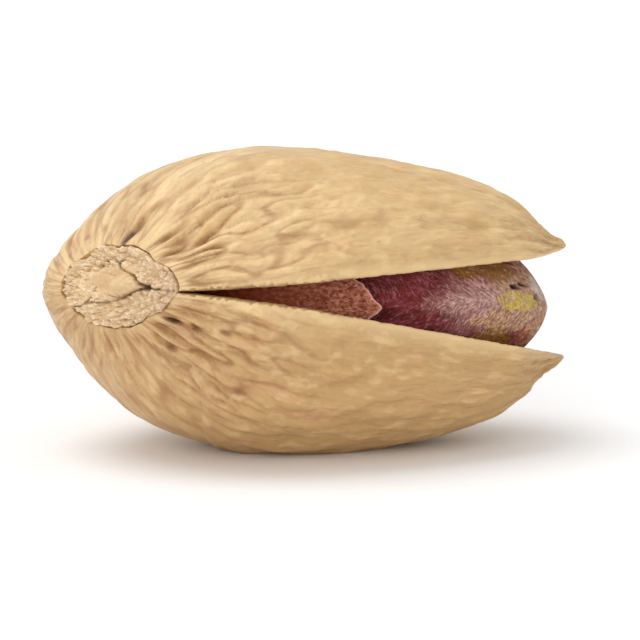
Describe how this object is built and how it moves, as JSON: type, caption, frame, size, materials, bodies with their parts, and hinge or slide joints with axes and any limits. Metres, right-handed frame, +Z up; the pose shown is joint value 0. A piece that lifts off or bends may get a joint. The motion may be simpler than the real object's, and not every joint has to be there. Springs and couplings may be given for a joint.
{
  "type": "pistachio in shell",
  "caption": "Ripe pistachio in its hard shell, split open along the seam from near the stem scar round the beaks, with the skinned kernel showing in the gape.",
  "frame": {"origin": "middle of the small flat spot under the lower valve, at the surface the nut lies on", "axes": "+X runs along the nut from the stem end to the beaks, -Y is the near side with the stem scar and the longer split, +Z is up"},
  "size_m": [0.0204, 0.0124, 0.0116],
  "materials": {
    "shell": "satin",
    "stem_scar": "matte",
    "kernel": "satin",
    "torn_skin": "matte"
  },
  "bodies": {
    "root": {"shell": "shell", "stem_scar": "stem_scar", "kernel": "kernel", "torn_skin": "torn_skin"}
  },
  "joints": []
}
